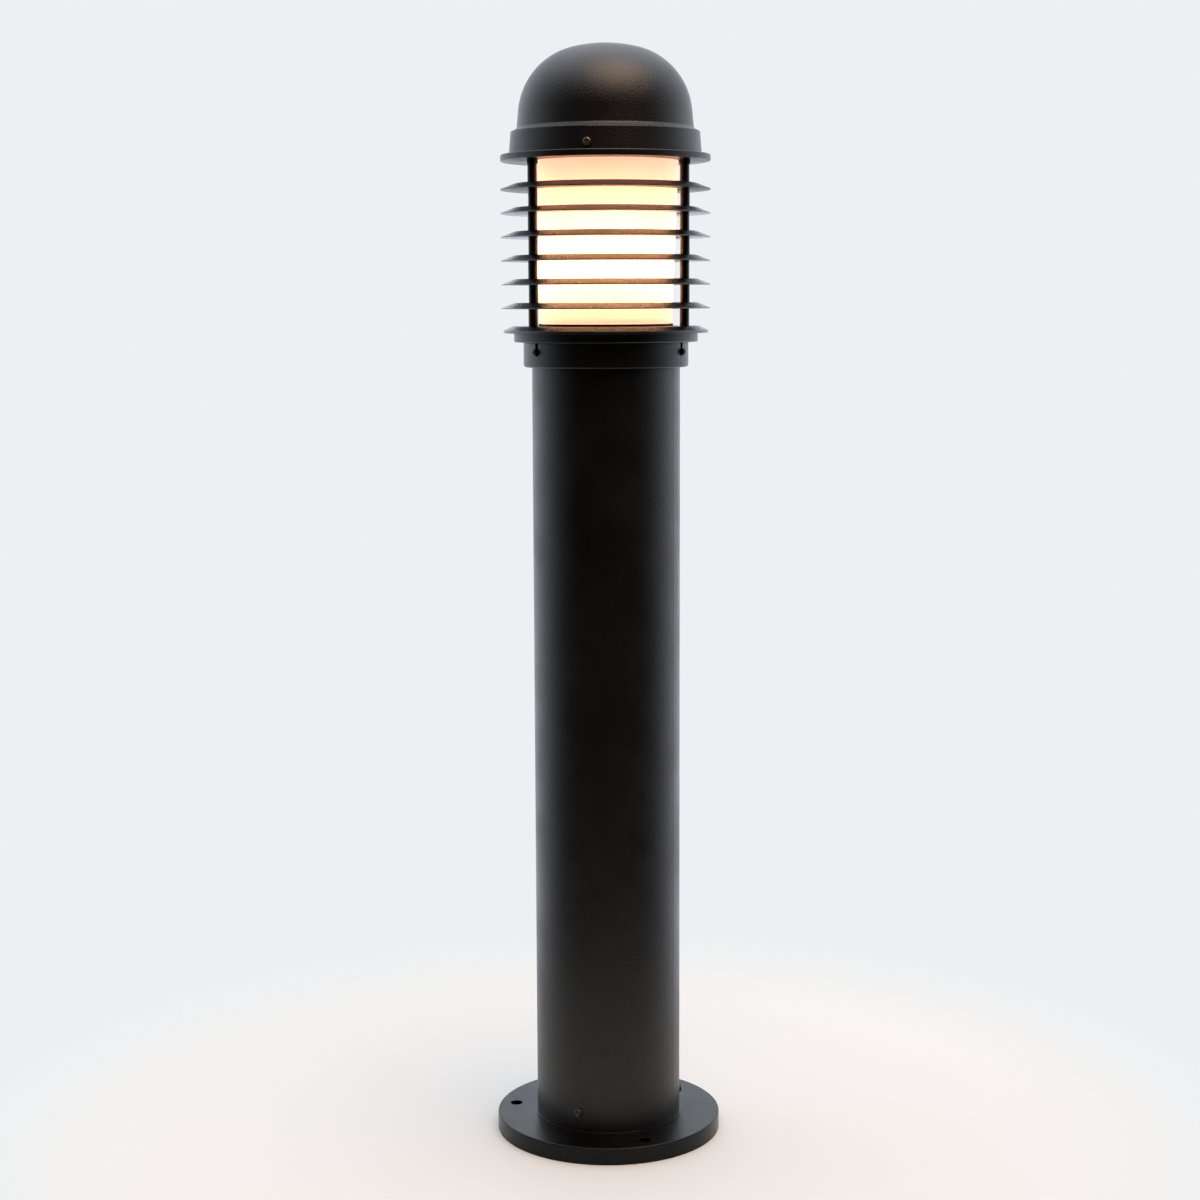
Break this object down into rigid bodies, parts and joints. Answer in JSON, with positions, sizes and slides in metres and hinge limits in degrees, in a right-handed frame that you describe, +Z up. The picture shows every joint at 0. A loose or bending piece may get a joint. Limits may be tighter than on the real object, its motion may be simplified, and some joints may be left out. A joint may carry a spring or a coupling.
{
  "type": "bollard light",
  "caption": "Post light with a round foot, a lit opal glass inside a cage of stacked louvres, and a lift-off dome cap.",
  "frame": {"origin": "centre of the base's underside, on the ground", "axes": "+Z up along the post; -Y is the front, the side with the cap screw nearest the middle"},
  "size_m": [0.2, 0.2, 0.9595],
  "materials": {
    "black_paint": "satin black polyester coating",
    "black_tube": "satin black",
    "black_steel": "black oxide",
    "zinc_steel": "dulled zinc plate",
    "brass": "bright",
    "gasket_rubber": "matte",
    "opal_diffuser": "lit opal, satin",
    "white_ceramic": "glazed",
    "white_plastic": "satin",
    "black_plastic": "satin",
    "nickel_steel": "nickel plate",
    "opal_bulb": "lit opal",
    "brown_insulation": "satin",
    "blue_insulation": "satin"
  },
  "bodies": {
    "post": {"base_flange": "black_paint", "base_spigot": "black_paint", "post_tube": "black_paint", "post_screws": "zinc_steel", "post_collar": "black_paint", "earth_stud": "brass", "earth_washer": "brass", "earth_nuts": "brass"},
    "head": {"lantern_base": "black_paint", "collar_screws": "black_steel", "cage_bottom_plate": "black_paint", "louvre_ring_1": "black_paint", "louvre_ring_2": "black_paint", "louvre_ring_3": "black_paint", "louvre_ring_4": "black_paint", "louvre_ring_5": "black_paint", "louvre_ring_6": "black_paint", "spacers_level_1": "black_tube", "spacers_level_2": "black_tube", "spacers_level_3": "black_tube", "spacers_level_4": "black_tube", "spacers_level_5": "black_tube", "spacers_level_6": "black_tube", "spacers_level_7": "black_tube", "tie_rods": "zinc_steel", "rod_seal_washers": "gasket_rubber", "rod_washers": "zinc_steel", "rod_nuts": "zinc_steel", "top_flange": "black_paint", "diffuser": "opal_diffuser", "lower_glass_gasket": "gasket_rubber", "upper_glass_gasket": "gasket_rubber", "lampholder_bracket": "zinc_steel", "bracket_screws": "zinc_steel", "lantern_earth_screw": "brass", "lampholder_body": "white_ceramic", "lampholder_shell": "brass", "lampholder_contact": "brass", "terminal_block": "white_plastic", "terminal_screws": "zinc_steel", "live_lead": "brown_insulation", "neutral_lead": "blue_insulation", "gland_body": "black_plastic", "gland_cap_nut": "black_plastic", "gland_lock_nut": "black_plastic"},
    "lamp": {"lamp_contact": "brass", "lamp_insulator": "black_plastic", "lamp_screw_cap": "nickel_steel", "lamp_housing": "white_plastic", "lamp_bulb": "opal_bulb"},
    "cap": {"dome_cap": "black_paint", "cap_gasket": "gasket_rubber", "cap_screws": "zinc_steel"}
  },
  "joints": [
    {"name": "head_lift", "type": "slide", "parent": "post", "child": "head", "axis": [0, 0, 1], "range_m": [0, 0.08]},
    {"name": "lamp_lift", "type": "slide", "parent": "head", "child": "lamp", "axis": [0, 0, 1], "range_m": [0, 0.08]},
    {"name": "cap_lift", "type": "slide", "parent": "head", "child": "cap", "axis": [0, 0, 1], "range_m": [0, 0.12]}
  ]
}
